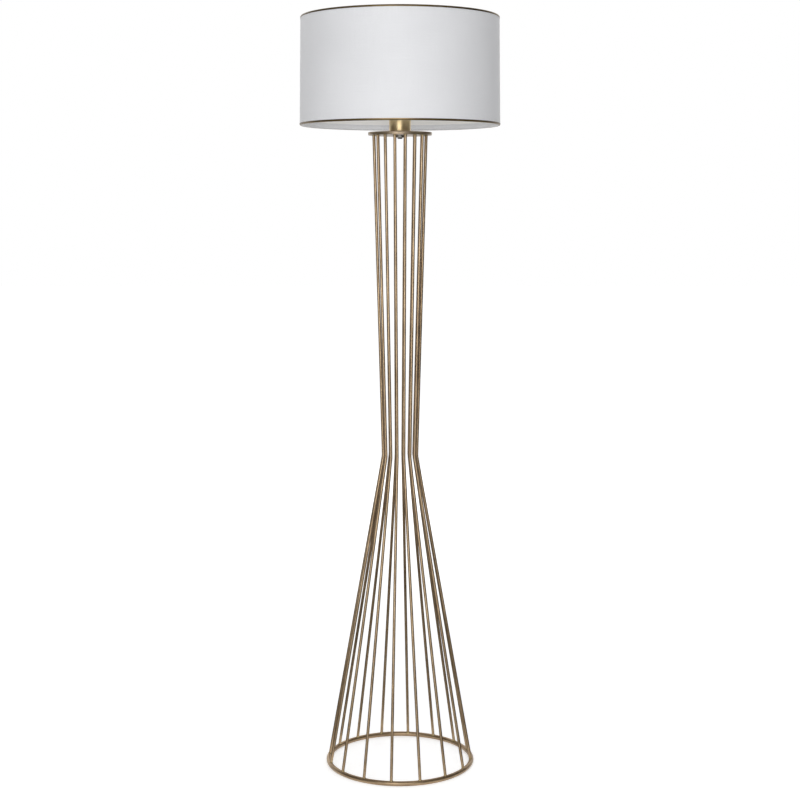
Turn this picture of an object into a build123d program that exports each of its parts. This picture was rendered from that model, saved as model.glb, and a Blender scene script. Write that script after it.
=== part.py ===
"""Floor lamp on a waisted wire cage, with a drum shade: the source of every piece.

Millimetres, +Z up. The origin is on the floor, at the centre of the ring that the lamp
stands on, and -Y is the front. Heights are worked out upwards from the floor, piece on piece.
"""
from build123d import *
import os
from math import cos, radians, sin

# ---- The cage: a floor ring, bent wires and a disc ----
RING_R = 150.0              # centre line of the round bar
RING_BAR_D = 10.0
RING_FLAT = 0.3             # ground off under the bar, so that the ring stands on a flat
WIRE_COUNT = 16
WIRE_D = 6.0
WAIST_R = 35.0              # wire centres at the bend
WAIST_Z = 651.0
BEND_R = 25.0               # centre line of the bend
WIRE_TOP_R = 53.5
FRONT = -90.0               # direction of -Y, seen from above
RING_TURN = -6.75           # degrees from the front to the first wire, on the ring
WAIST_TURN = -9.3           # the same, at the bend
PLATE_TURN = -11.0          # the same, on the disc: the cage is welded with a slight twist
PLATE_Z = 1302.0            # underside of the disc
PLATE_D = 128.0
PLATE_T = 6.0
PLATE_EDGE_R = 0.8

# ---- The threaded tube and what clamps the disc ----
TUBE_D = 10.0               # fine metric thread, drawn at its outer diameter
TUBE_WALL = 1.0
TUBE_CHAMFER = 0.5
TUBE_IN_HOLDER = 11.0
TUBE_BELOW_NUT = 1.3
HOLE_CLEARANCE = 0.25       # on the radius, where the tube passes through a hole
THREAD_CLEARANCE = 0.05     # on the radius, between threads drawn as plain cylinders
NUT_ACROSS_FLATS = 14.0
NUT_CORNER_D = 15.4         # the corners are turned off to this
NUT_CHAMFER = 0.3
NUT_T = 3.0
WASHER_D = 16.0
WASHER_T = 1.2
WASHER_TEETH = 16
WASHER_NOTCH = 1.2
BUSH_WALL = 0.75
BUSH_LENGTH = 6.0
BUSH_FLANGE_T = 1.2
BUSH_MOUTH_R = 0.4
FIT_CLEARANCE = 0.05        # on the radius, between pushed-in plastic and its seat

# ---- The bulb's cap, which sets the size of the lampholder ----
THREAD_PITCH = 3.629        # seven turns to the inch
CAP_LENGTH = 26.7           # tip to the upper edge of the cap
CAP_CREST_D = 26.2
CAP_THREAD_DEPTH = 0.85
CAP_WALL = 0.3
CAP_CLEARANCE = 0.35        # on the radius, between the cap's thread and the holder's sleeve
BUTTON_D = 9.6
BUTTON_FLAT_D = 6.0
BUTTON_H = 1.4
BUTTON_CONE_H = 1.0
INSULATOR_INSET = 0.95      # on the radius, inside the bottom of the cap's thread
INSULATOR_H = 3.6

# ---- The lampholder, and the neck cup round it ----
SLEEVE_WALL = 0.5
SLEEVE_FLOOR_R = 8.0
SKIRT_GAP = 3.4             # between the sleeve and the holder's wall
BODY_WALL = 2.35
BASE_H = 14.0
BASE_FLOOR = 3.0
BOSS_WALL = 3.45
SPIGOT_H = 6.0
SPIGOT_WALL = 2.4
SPIGOT_CLEARANCE = 0.1
BLOCK_T = 7.0
SKIRT_OVER_CAP = 0.6
SKIRT_LIP = 2.0
LIP_CLEARANCE = 0.8         # on the radius, round the bulb's neck
RIDGE_PITCH = 2.5
RIDGE_DEPTH = 0.5
RIDGE_COUNT = 7
SKIRT_ABOVE_CUP = 12.6
CUP_GAP = 1.25              # between the holder and the neck cup
CUP_WALL = 0.8
CUP_CORNER_R = 1.2
RIVET_D = 2.2
RIVET_HEAD_D = 3.6
RIVET_HEAD_T = 0.8
CONTACT_T = 0.6
CONTACT_W = 5.0
CONTACT_PAD = 4.0           # length of the raised part, under the bulb's tip
CONTACT_RISE = 2.5          # top of the centre contact over the block
CONTACT_SLOPE = 1.25        # sideways run of its raised part's side
TERMINAL_X = 9.5
TERMINAL_SIZE = (5.0, 6.0, 5.0)
SCREW_D = 2.6
SCREW_HEAD_D = 4.4
SCREW_HEAD_T = 1.6
SCREW_SLOT = 0.8            # width and depth of the slots in the screws' heads
SCREW_IN = 3.0
GRUB_D = 3.0
GRUB_UP = 7.0               # its axis over the holder's floor
GRUB_PROUD = 1.0
GRUB_SLOT = 0.5

# ---- The bulb above its cap ----
BULB_LENGTH = 108.0
GLOBE_D = 60.0
SEAM_DROP = 11.3            # globe's centre down to its seam with the housing
NECK_STEP = 0.5             # on the radius, from the cap out to the housing
NECK_STRAIGHT = 14.0        # height over which the housing's side leaves the neck
FLARE_IN = 5.2              # its slope at the seam: this far in
FLARE_DOWN = 12.8           # for this far down
BULB_WALL = 1.5
BOARD_T = 1.6
BOARD_INSET = 4.0           # on the radius, inside the seam
BOARD_DOWN = 3.0            # seam to the top of the board
LEDGE_W = 3.0
CHIP_COUNT = 12
CHIP_SIZE = (3.0, 3.0, 0.8)
CHIP_RING_R = 14.0
DRIVER_SIZE = (16.0, 1.6, 27.0)
COIL_SIZE = (8.0, 4.0, 7.0)
COIL_DOWN = 9.0             # board to the coil's middle
CAPACITOR_D = 6.4
CAPACITOR_H = 9.0
CAPACITOR_DOWN = 18.0

# ---- The shade ----
SHADE_R = 201.0             # outside of the cloth at the lower edge
SHADE_NARROWS = 2.9         # on the radius, towards the top
SHADE_H = 213.0
SHADE_DROP = 31.5           # seat of the fitter to the shade's lower edge
CLOTH_T = 0.5
LINER_T = 0.5
SHADE_WIRE_D = 3.0
HEM = 9.0                   # wire's centre to the turned-in cloth's edge
HEM_STAND = 0.8             # the turned-in cloth stands up beside the wire this far,
HEM_TUCK = 4.2              # and meets the liner this far from the wire's centre
TRIM_T = 0.4
TRIM_UP = 1.3               # trim on the wall, from the wire's centre
TRIM_WRAP = 105.0           # degrees of the rolled edge that the trim goes round
TRIM_BENDS = 4
ARM_COUNT = 3
ARM_FIRST = 90.0            # the first arm points to the back, behind the neck
ARM_D = 3.0
ARM_GAP = 2.0               # neck cup to the arm's inner end
ARM_BEND_OUT = 10.5         # inner end to the bend
ARM_BEND_R = 12.0
ARM_DOWN = 0.5              # top of the fitter's ring to the top of the arms
SLIT_CLEARANCE = 1.0        # each side of an arm, in the turned-in cloth
SLIT_BELOW = 0.125          # under the arm's wire
FITTER_T = 1.5
FITTER_RIM = 5.25           # fitter's ring outside the neck cup
FITTER_CLEARANCE = 0.55     # on the radius, round the holder's ridges
NUT_RING_INSET = 0.5        # on the radius, inside the fitter's rim
NUT_RING_FLANGE = 1.6
NUT_RING_H = 6.0
NUT_RING_WALL = 2.7
NUT_RING_SLACK = 0.2        # over the fitter
NUT_RING_CLEARANCE = 0.1    # on the radius, over the holder's ridges
KNURL_COUNT = 24
KNURL_D = 3.0
KNURL_DEPTH = 0.9

# ---- Heights, from the floor up ----
ring_z = RING_BAR_D / 2 - RING_FLAT
plate_top = PLATE_Z + PLATE_T
washer_z = PLATE_Z - WASHER_T
nut_z = washer_z - NUT_T
tube_z = nut_z - TUBE_BELOW_NUT
base_z = plate_top + CUP_WALL
boss_top = base_z + TUBE_IN_HOLDER
spigot_z = base_z + BASE_H
block_z = spigot_z + SPIGOT_H
sleeve_z = block_z + BLOCK_T
bulb_z = sleeve_z + CONTACT_RISE
cap_top = bulb_z + CAP_LENGTH
skirt_top = cap_top + SKIRT_OVER_CAP
fitter_z = skirt_top - SKIRT_ABOVE_CUP
nut_ring_z = fitter_z + FITTER_T + NUT_RING_SLACK
shade_z = fitter_z - SHADE_DROP
globe_centre = bulb_z + BULB_LENGTH - GLOBE_D / 2
housing_top = globe_centre - SEAM_DROP
board_z = housing_top - BOARD_DOWN - BOARD_T

# ---- Radii, from the axis outwards ----
tube_bore_r = TUBE_D / 2 - TUBE_WALL
tube_hole_r = TUBE_D / 2 + HOLE_CLEARANCE
thread_hole_r = TUBE_D / 2 + THREAD_CLEARANCE
boss_r = thread_hole_r + BOSS_WALL
cap_r = CAP_CREST_D / 2
cap_root_r = cap_r - CAP_THREAD_DEPTH
insulator_r = cap_root_r - INSULATOR_INSET
neck_r = cap_r + NECK_STEP
sleeve_r = cap_r + CAP_CLEARANCE
skirt_inner_r = sleeve_r + SLEEVE_WALL + SKIRT_GAP
spigot_r = skirt_inner_r - SPIGOT_CLEARANCE
body_r = skirt_inner_r + BODY_WALL
cup_r = body_r + CUP_GAP + CUP_WALL
fitter_r = cup_r + FITTER_RIM
nut_ring_r = fitter_r - NUT_RING_INSET
rivet_r = (SLEEVE_FLOOR_R + sleeve_r) / 2
contact_foot = SLEEVE_FLOOR_R - CONTACT_T - RIVET_HEAD_D / 2
seam_r = ((GLOBE_D / 2) ** 2 - SEAM_DROP ** 2) ** 0.5
board_r = seam_r - BOARD_INSET

# ---- The shade's rolled edges ----
under_cloth = CLOTH_T + LINER_T
wire_inset = under_cloth + SHADE_WIRE_D / 2             # shade's face to the wire's centre
roll_r = (under_cloth + SHADE_WIRE_D + CLOTH_T) / 2     # outside of the roll
bottom_wire_z = shade_z + roll_r
top_wire_z = shade_z + SHADE_H - roll_r


def around(radius, degrees, height):
    """Point at a radius and an angle round the lamp's axis."""
    return Vector(radius * cos(radians(degrees)), radius * sin(radians(degrees)), height)


def turned(outline):
    """Solid of revolution from a closed outline of radius and height."""
    return revolve(Plane.XZ * make_face(outline), Axis.Z)


def turned_corners(*corners):
    """Solid of revolution from the corners of its section, as (radius, height)."""
    return turned(Polyline(*corners, close=True))


def tube(outer_r, inner_r, low, high):
    """Plain tube on the lamp's axis."""
    return turned_corners((inner_r, low), (outer_r, low), (outer_r, high), (inner_r, high))


def circles(solid):
    """A turned solid's circular edges."""
    return solid.edges().filter_by(GeomType.CIRCLE)


# ---- Cage ----
def base_ring():
    bar = Pos(0, 0, ring_z) * Torus(RING_R, RING_BAR_D / 2)
    ground = Pos(0, 0, -RING_BAR_D / 2) * Box(3 * RING_R, 3 * RING_R, RING_BAR_D)
    return bar - ground


def cage_wire(number, ring):
    """One wire: up from the ring, bent at the waist, and cut off flat under the disc."""
    step = number * 360 / WIRE_COUNT
    foot = around(RING_R, FRONT + RING_TURN + step, ring_z)
    waist = around(WAIST_R, FRONT + WAIST_TURN + step, WAIST_Z)
    head = around(WIRE_TOP_R, FRONT + PLATE_TURN + step, PLATE_Z)
    past_head = head + (head - waist).normalized() * WIRE_D
    path = FilletPolyline(foot, waist, past_head, radius=BEND_R)
    bar = sweep(Plane(foot, z_dir=waist - foot) * Circle(WIRE_D / 2), path)
    bar = split(bar, Plane.XY.offset(PLATE_Z), keep=Keep.BOTTOM)
    return bar - ring


def top_plate():
    plate = tube(PLATE_D / 2, tube_hole_r, PLATE_Z, plate_top)
    return fillet(circles(plate).group_by(SortBy.RADIUS)[-1], PLATE_EDGE_R)


# ---- Threaded tube and its fasteners ----
def threaded_tube():
    pipe = tube(TUBE_D / 2, tube_bore_r, tube_z, boss_top)
    return chamfer(circles(pipe).group_by(SortBy.RADIUS)[-1], TUBE_CHAMFER)


def lock_nut():
    hexagon = RegularPolygon(NUT_ACROSS_FLATS / 2, 6, major_radius=False)
    nut = extrude(Plane.XY.offset(nut_z) * (hexagon - Circle(thread_hole_r)), NUT_T)
    blank = Pos(0, 0, nut_z + NUT_T / 2) * Cylinder(NUT_CORNER_D / 2, NUT_T)
    return nut & chamfer(circles(blank), NUT_CHAMFER)


def lock_washer():
    """Toothed washer: a ring with notches round its rim."""
    ring = tube(WASHER_D / 2, tube_hole_r, washer_z, PLATE_Z)
    notch = Pos(WASHER_D / 2, 0, washer_z) * Box(WASHER_NOTCH, WASHER_NOTCH, 4 * WASHER_T)
    for turn in range(WASHER_TEETH):
        ring -= Rot(Z=turn * 360 / WASHER_TEETH) * notch
    return ring


def cord_bush():
    """Plastic bush in the tube's lower end, for the supply cord to pass through."""
    outer_r = tube_bore_r - FIT_CLEARANCE
    inner_r = outer_r - BUSH_WALL
    bush = turned_corners(
        (inner_r, tube_z - BUSH_FLANGE_T), (TUBE_D / 2, tube_z - BUSH_FLANGE_T),
        (TUBE_D / 2, tube_z), (outer_r, tube_z), (outer_r, tube_z + BUSH_LENGTH),
        (inner_r, tube_z + BUSH_LENGTH),
    )
    return fillet(circles(bush).group_by(Axis.Z)[0], BUSH_MOUTH_R)


# ---- Neck and lampholder ----
def neck_cup():
    inner_r = cup_r - CUP_WALL
    cup = turned_corners(
        (tube_hole_r, plate_top), (cup_r, plate_top), (cup_r, fitter_z), (inner_r, fitter_z),
        (inner_r, base_z), (tube_hole_r, base_z),
    )
    corner = circles(cup).group_by(Axis.Z)[0].sort_by(SortBy.RADIUS)[-1]
    return fillet(corner, CUP_CORNER_R)


def holder_base():
    """Lower half of the lampholder: threaded entry, floor, wall and the spigot on top."""
    inner_r = spigot_r - SPIGOT_WALL
    base = turned_corners(
        (thread_hole_r, base_z), (body_r, base_z), (body_r, spigot_z),
        (spigot_r, spigot_z), (spigot_r, block_z), (inner_r, block_z),
        (inner_r, base_z + BASE_FLOOR), (boss_r, base_z + BASE_FLOOR), (boss_r, boss_top),
        (thread_hole_r, boss_top),
    )
    return base - grub_bar(boss_r + GRUB_PROUD)


def grub_bar(reach):
    """Round bar along +X from the threaded tube's face, for the grub screw and its hole."""
    bar = Plane.YZ.offset(TUBE_D / 2) * Circle(GRUB_D / 2)
    return Pos(0, 0, base_z + GRUB_UP) * extrude(bar, reach - TUBE_D / 2)


def grub_screw():
    end = boss_r + GRUB_PROUD
    slot = Pos(end, 0, base_z + GRUB_UP) * Box(2 * GRUB_SLOT, 2 * GRUB_D, GRUB_SLOT)
    return grub_bar(end) - slot


def rivet_spots():
    """Two rivets hold the sleeve's floor, and one holds the centre contact."""
    return [(0, rivet_r), (0, -rivet_r), (-contact_foot, 0)]


def holder_block():
    """Insulating block, with holes for the rivets."""
    block = Pos(0, 0, block_z + BLOCK_T / 2) * Cylinder(spigot_r, BLOCK_T)
    for x, y in rivet_spots():
        block -= Pos(x, y, block_z + BLOCK_T / 2) * Cylinder(RIVET_D / 2, 2 * BLOCK_T)
    return block


def rivet(x, y, head_z):
    shank = Pos(x, y, (block_z + head_z) / 2) * Cylinder(RIVET_D / 2, head_z - block_z)
    return shank + Pos(x, y, head_z + RIVET_HEAD_T / 2) * Cylinder(RIVET_HEAD_D / 2, RIVET_HEAD_T)


def holder_rivets():
    held = [SLEEVE_WALL, SLEEVE_WALL, CONTACT_T]
    return Compound([rivet(x, y, sleeve_z + t) for (x, y), t in zip(rivet_spots(), held)])


def centre_contact():
    """Springy strip: flat on the block at the rivet, raised in the middle."""
    end = -contact_foot - RIVET_HEAD_D / 2
    pad = -CONTACT_PAD / 2
    rise = pad - CONTACT_SLOPE
    side = Polyline(
        (end, sleeve_z), (rise, sleeve_z), (pad, bulb_z - CONTACT_T), (-pad, bulb_z - CONTACT_T),
        (-pad, bulb_z), (pad - CONTACT_T / 2, bulb_z), (rise - CONTACT_T / 2, sleeve_z + CONTACT_T),
        (end, sleeve_z + CONTACT_T), close=True,
    )
    strip = extrude(Plane.XZ * make_face(side), CONTACT_W / 2, both=True)
    return strip - Pos(-contact_foot, 0, sleeve_z) * Cylinder(RIVET_D / 2, 4 * CONTACT_T)


def screw_sleeve():
    """Sleeve with an inward floor, riveted to the block. The bulb's cap screws into it."""
    outer_r, top = sleeve_r + SLEEVE_WALL, skirt_top - SKIRT_LIP
    floor_top = sleeve_z + SLEEVE_WALL
    sleeve = turned_corners(
        (SLEEVE_FLOOR_R, sleeve_z), (outer_r, sleeve_z), (outer_r, top), (sleeve_r, top),
        (sleeve_r, floor_top), (SLEEVE_FLOOR_R, floor_top),
    )
    for x, y in rivet_spots()[:2]:
        sleeve -= Pos(x, y, sleeve_z) * Cylinder(RIVET_D / 2, 4 * SLEEVE_WALL)
    return sleeve


def terminal_screw(side):
    """Cheese-head screw, up into a terminal from below."""
    low = block_z - TERMINAL_SIZE[2]
    shank = Pos(0, 0, low + SCREW_IN / 2) * Cylinder(SCREW_D / 2, SCREW_IN)
    head = Pos(0, 0, low - SCREW_HEAD_T / 2) * Cylinder(SCREW_HEAD_D / 2, SCREW_HEAD_T)
    slot = Pos(0, 0, low - SCREW_HEAD_T) * Box(2 * SCREW_HEAD_D, SCREW_SLOT, 2 * SCREW_SLOT)
    return Pos(side * TERMINAL_X, 0, 0) * (shank + head - slot)


def terminal_screws():
    return Compound([terminal_screw(side) for side in (-1, 1)])


def holder_terminals():
    """Two brass blocks under the insulating block, where the cord's ends are clamped."""
    block = Pos(TERMINAL_X, 0, block_z - TERMINAL_SIZE[2] / 2) * Box(*TERMINAL_SIZE)
    return Compound([Rot(Z=turn) * (block - terminal_screw(1)) for turn in (0, 180)])


def holder_skirt():
    """Upper half of the lampholder, with ridges outside for the ring nut and a lip on top."""
    root_r = body_r - RIDGE_DEPTH
    lip_r = neck_r + LIP_CLEARANCE
    outside = [(root_r, spigot_z)]
    for ridge in reversed(range(RIDGE_COUNT)):
        low = skirt_top - (ridge + 1) * RIDGE_PITCH
        outside += [
            (root_r, low), (body_r, low + RIDGE_DEPTH), (body_r, low + RIDGE_PITCH / 2),
            (root_r, low + RIDGE_PITCH / 2 + RIDGE_DEPTH),
        ]
    return turned_corners(
        *outside, (root_r, skirt_top), (lip_r, skirt_top), (lip_r, skirt_top - SKIRT_LIP),
        (skirt_inner_r, skirt_top - SKIRT_LIP), (skirt_inner_r, spigot_z),
    )


# ---- Bulb ----
def bulb_contact():
    return turned_corners(
        (0, bulb_z), (BUTTON_FLAT_D / 2, bulb_z), (BUTTON_D / 2, bulb_z + BUTTON_CONE_H),
        (BUTTON_D / 2, bulb_z + BUTTON_H), (0, bulb_z + BUTTON_H),
    )


def bulb_insulator():
    low = bulb_z + BUTTON_H
    return turned_corners(
        (0, low), (BUTTON_D / 2, low), (insulator_r, low + INSULATOR_H), (0, low + INSULATOR_H)
    )


def bulb_cap():
    """Thin metal shell with a rolled thread, drawn as rounded rings at the thread's pitch."""
    low = bulb_z + BUTTON_H + INSULATOR_H
    turns = int((cap_top - low) / THREAD_PITCH - 0.5)
    thread_low = cap_top - (turns + 0.5) * THREAD_PITCH
    outside = Line((insulator_r, low), (cap_root_r, thread_low))
    for turn in range(turns):
        start = thread_low + turn * THREAD_PITCH
        middle, end = start + THREAD_PITCH / 2, start + THREAD_PITCH
        outside += ThreePointArc((cap_root_r, start), (cap_r, middle), (cap_root_r, end))
    inner_r = cap_root_r - CAP_WALL
    outside += Polyline(
        (cap_root_r, cap_top - THREAD_PITCH / 2), (cap_r, cap_top - THREAD_PITCH / 4),
        (cap_r, cap_top), (inner_r, cap_top), (inner_r, thread_low),
        (insulator_r - CAP_WALL, low), (insulator_r, low),
    )
    return turned(outside)


def bulb_side(inset):
    """Flared outline of the bulb's housing, from its neck to the globe's seam."""
    return Bezier(
        (neck_r - inset, cap_top), (neck_r - inset, cap_top + NECK_STRAIGHT),
        (seam_r - FLARE_IN - inset, housing_top - FLARE_DOWN), (seam_r - inset, housing_top),
    )


def bulb_housing():
    """Plastic shell between cap and globe, with a ledge inside for the board of lights."""
    outer, inner = bulb_side(0), bulb_side(BULB_WALL)
    shell = turned(outer + Line(outer @ 1, inner @ 1) + inner + Line(inner @ 0, outer @ 0))
    filled = turned(outer + Polyline(outer @ 1, (0, housing_top), (0, cap_top), outer @ 0))
    ledge = tube(GLOBE_D / 2, board_r - LEDGE_W, board_z - BULB_WALL, board_z)
    return shell + (filled & ledge)


def bulb_led_board():
    """Round board with a ring of small light chips."""
    board = Pos(0, 0, board_z + BOARD_T / 2) * Cylinder(board_r, BOARD_T)
    chip = Pos(CHIP_RING_R, 0, board_z + BOARD_T + CHIP_SIZE[2] / 2) * Box(*CHIP_SIZE)
    for turn in range(CHIP_COUNT):
        board += Rot(Z=turn * 360 / CHIP_COUNT) * chip
    return board


def bulb_driver():
    """Upright circuit board with its coil and capacitor, hung under the round board."""
    depth = DRIVER_SIZE[1]
    board = Pos(0, 0, board_z - DRIVER_SIZE[2] / 2) * Box(*DRIVER_SIZE)
    coil = Pos(0, (depth + COIL_SIZE[1]) / 2, board_z - COIL_DOWN) * Box(*COIL_SIZE)
    capacitor_y = -(depth + CAPACITOR_D) / 2 + FIT_CLEARANCE
    capacitor = Pos(0, capacitor_y, board_z - CAPACITOR_DOWN) * Cylinder(CAPACITOR_D / 2, CAPACITOR_H)
    return board + coil + capacitor


def bulb_globe():
    """Opal dome: part of a hollow ball, open where it meets the housing."""
    ball = Sphere(GLOBE_D / 2) - Sphere(GLOBE_D / 2 - BULB_WALL)
    return split(Pos(0, 0, globe_centre) * ball, Plane.XY.offset(housing_top), keep=Keep.TOP)


# ---- Shade ----
def wall_r(height):
    """Outer radius of the shade's cloth at a height: the drum widens slightly downwards."""
    share = (height - bottom_wire_z) / (top_wire_z - bottom_wire_z)
    return SHADE_R - share * SHADE_NARROWS


def wall_face(outer_inset, inner_inset, low, high):
    """Section of a layer of the wall, between two depths under the cloth's face."""
    return make_face(Polyline(
        (wall_r(low) - inner_inset, low), (wall_r(low) - outer_inset, low),
        (wall_r(high) - outer_inset, high), (wall_r(high) - inner_inset, high), close=True,
    ))


def half_roll(outer_r, inner_r, wire_z, up):
    """Section of a half ring round a shade wire, on the side away from the shade."""
    centre_x = wall_r(wire_z) - roll_r
    away = Pos(centre_x, wire_z - up * outer_r) * Rectangle(4 * outer_r, 2 * outer_r)
    return Pos(centre_x, wire_z) * (Circle(outer_r) - Circle(inner_r)) & away


def hem_face(wire_z, up):
    """Cloth turned in round a shade wire and tucked back onto the liner. up is -1 at the top."""
    past_wire = wall_r(wire_z) - under_cloth - SHADE_WIRE_D
    stand, tuck, end = (wire_z + up * rise for rise in (HEM_STAND, HEM_TUCK, HEM))
    turned_in = make_face(Polyline(
        (past_wire, wire_z), (past_wire, stand), (wall_r(tuck) - under_cloth, tuck),
        (wall_r(end) - under_cloth, end), (wall_r(end) - under_cloth - CLOTH_T, end),
        (wall_r(tuck) - under_cloth - CLOTH_T, tuck + up * CLOTH_T / 2),
        (past_wire - CLOTH_T, stand + up * CLOTH_T / 2), (past_wire - CLOTH_T, wire_z), close=True,
    ))
    return half_roll(roll_r, roll_r - CLOTH_T, wire_z, up) + turned_in


def arm_angles():
    return [ARM_FIRST + turn * 360 / ARM_COUNT for turn in range(ARM_COUNT)]


def shade_cover():
    """Cloth of the drum in one piece, with both edges rolled in and slit at the arms."""
    section = wall_face(0, CLOTH_T, bottom_wire_z, top_wire_z)
    section += hem_face(bottom_wire_z, 1) + hem_face(top_wire_z, -1)
    cover = revolve(Plane.XZ * section, Axis.Z)
    low, high = bottom_wire_z - SHADE_WIRE_D / 2 - SLIT_BELOW, bottom_wire_z + HEM + CLOTH_T
    outer = SHADE_R - under_cloth
    inner = outer - SHADE_WIRE_D - 4 * CLOTH_T
    size = (outer - inner, ARM_D + 2 * SLIT_CLEARANCE, high - low)
    slit = Pos((inner + outer) / 2, 0, (low + high) / 2) * Box(*size)
    for angle in arm_angles():
        cover -= Rot(Z=angle) * slit
    return cover


def shade_liner():
    face = wall_face(CLOTH_T, under_cloth, bottom_wire_z, top_wire_z)
    return revolve(Plane.XZ * face, Axis.Z)


def shade_wire(wire_z):
    return Pos(0, 0, wire_z) * Torus(wall_r(wire_z) - wire_inset, SHADE_WIRE_D / 2)


def on_roll(wire_z, up, radius, degrees):
    """Point of a rolled edge's section: 0 degrees is on the wall's side, 90 at the very edge."""
    out, past = radius * cos(radians(degrees)), radius * sin(radians(degrees))
    return wall_r(wire_z) - roll_r + out, wire_z - up * past


def trim_side(wire_z, up, stands):
    """One side of the ribbon's section, this far off the cloth, in short straight bends."""
    step = TRIM_WRAP / TRIM_BENDS
    radius, end = roll_r + stands, wire_z + up * TRIM_UP
    corner_r = radius / cos(radians(step / 2))
    bends = [on_roll(wire_z, up, corner_r, (bend + 0.5) * step) for bend in range(TRIM_BENDS)]
    first, last = on_roll(wire_z, up, radius, 0), on_roll(wire_z, up, radius, TRIM_WRAP)
    return [(wall_r(end) + stands, end), first, *bends, last]


def shade_trim(wire_z, up):
    """Narrow metallic ribbon glued round the rolled edge. up is -1 at the top."""
    outside, inside = trim_side(wire_z, up, TRIM_T), trim_side(wire_z, up, 0)
    return turned_corners(*outside, *reversed(inside))


def shade_fitter():
    """Flat ring on three cranked arms, welded to the shade's lower wire."""
    fitter = tube(fitter_r, body_r + FITTER_CLEARANCE, fitter_z, fitter_z + FITTER_T)
    arm_z = fitter_z + FITTER_T - ARM_DOWN - ARM_D / 2
    start_r = cup_r + ARM_GAP
    end_r = wall_r(bottom_wire_z) - wire_inset
    path = FilletPolyline(
        (start_r, 0, arm_z), (start_r + ARM_BEND_OUT, 0, arm_z), (end_r, 0, bottom_wire_z),
        radius=ARM_BEND_R,
    )
    arm = sweep(Plane((start_r, 0, arm_z), z_dir=(1, 0, 0)) * Circle(ARM_D / 2), path)
    for angle in arm_angles():
        fitter += Rot(Z=angle) * arm
    return fitter - shade_wire(bottom_wire_z)


def shade_ring_nut():
    """Knurled ring nut that holds the fitter down on the neck cup."""
    bore_r = body_r + NUT_RING_CLEARANCE
    collar_r = bore_r + NUT_RING_WALL
    flange_top, collar_top = nut_ring_z + NUT_RING_FLANGE, nut_ring_z + NUT_RING_H
    nut = turned_corners(
        (bore_r, nut_ring_z), (nut_ring_r, nut_ring_z), (nut_ring_r, flange_top),
        (collar_r, flange_top), (collar_r, collar_top), (bore_r, collar_top),
    )
    scallop_r = nut_ring_r + KNURL_D / 2 - KNURL_DEPTH
    scallop = Pos(scallop_r, 0, nut_ring_z) * Cylinder(KNURL_D / 2, 4 * NUT_RING_FLANGE)
    for turn in range(KNURL_COUNT):
        nut -= Rot(Z=turn * 360 / KNURL_COUNT) * scallop
    return nut


floor_ring = base_ring()
nodes = {
    "base_ring": floor_ring,
    "top_plate": top_plate(),
    "threaded_tube": threaded_tube(),
    "lock_nut": lock_nut(),
    "lock_washer": lock_washer(),
    "cord_bush": cord_bush(),
    "neck_cup": neck_cup(),
    "holder_base": holder_base(),
    "grub_screw": grub_screw(),
    "holder_block": holder_block(),
    "holder_rivets": holder_rivets(),
    "centre_contact": centre_contact(),
    "screw_sleeve": screw_sleeve(),
    "holder_terminals": holder_terminals(),
    "terminal_screws": terminal_screws(),
    "holder_skirt": holder_skirt(),
    "bulb_contact": bulb_contact(),
    "bulb_insulator": bulb_insulator(),
    "bulb_cap": bulb_cap(),
    "bulb_housing": bulb_housing(),
    "bulb_driver": bulb_driver(),
    "bulb_led_board": bulb_led_board(),
    "bulb_globe": bulb_globe(),
    "shade_cover": shade_cover(),
    "shade_liner": shade_liner(),
    "shade_top_wire": shade_wire(top_wire_z),
    "shade_bottom_wire": shade_wire(bottom_wire_z),
    "shade_top_trim": shade_trim(top_wire_z, -1),
    "shade_bottom_trim": shade_trim(bottom_wire_z, 1),
    "shade_fitter": shade_fitter(),
    "shade_ring_nut": shade_ring_nut(),
}
for number in range(WIRE_COUNT):
    nodes[f"cage_wire_{number + 1:02d}"] = cage_wire(number, floor_ring)

os.makedirs("parts", exist_ok=True)
for name, shape in nodes.items():
    export_step(shape, f"parts/{name}.step")
print(len(nodes), "pieces; the shade's top is", round(shade_z + SHADE_H, 1), "mm over the floor")
print("neck cup", round(2 * cup_r, 2), "wide; seven turns lift the bulb", 7 * THREAD_PITCH, "mm")
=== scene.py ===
# %% [markdown]
# A floor lamp on a waisted wire cage. Sixteen bent wires stand on a ring of round bar and carry
# a disc, a brass neck cup and a white drum shade with gold edging. The construction is already
# there as a frame of exact solids, so this lesson is about looks: it draws the pieces that show
# again with clean, smooth meshes, and it gives every piece a finish made of shader nodes.

# %% Load the frame
import bmesh
import bpy
from math import atan2, ceil, cos, pi, radians, sin, sqrt, tan
from mathutils import Matrix, Vector, noise
from mathutils.geometry import interpolate_bezier


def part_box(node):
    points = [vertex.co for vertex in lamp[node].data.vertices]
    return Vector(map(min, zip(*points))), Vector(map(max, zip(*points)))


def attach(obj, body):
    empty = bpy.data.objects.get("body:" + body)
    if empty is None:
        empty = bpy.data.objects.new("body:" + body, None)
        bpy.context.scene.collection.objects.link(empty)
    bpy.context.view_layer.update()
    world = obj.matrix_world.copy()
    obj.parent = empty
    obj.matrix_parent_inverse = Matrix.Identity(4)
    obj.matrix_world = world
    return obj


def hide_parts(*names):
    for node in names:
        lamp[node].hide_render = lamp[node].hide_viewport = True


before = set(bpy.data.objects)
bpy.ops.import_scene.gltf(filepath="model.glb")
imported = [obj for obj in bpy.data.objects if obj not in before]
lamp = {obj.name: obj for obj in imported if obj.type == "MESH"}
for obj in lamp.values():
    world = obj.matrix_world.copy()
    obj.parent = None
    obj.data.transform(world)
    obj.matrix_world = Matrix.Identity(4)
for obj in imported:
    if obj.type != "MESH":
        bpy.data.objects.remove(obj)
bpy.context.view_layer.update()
scene = bpy.context.scene
MM = 0.001

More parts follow.
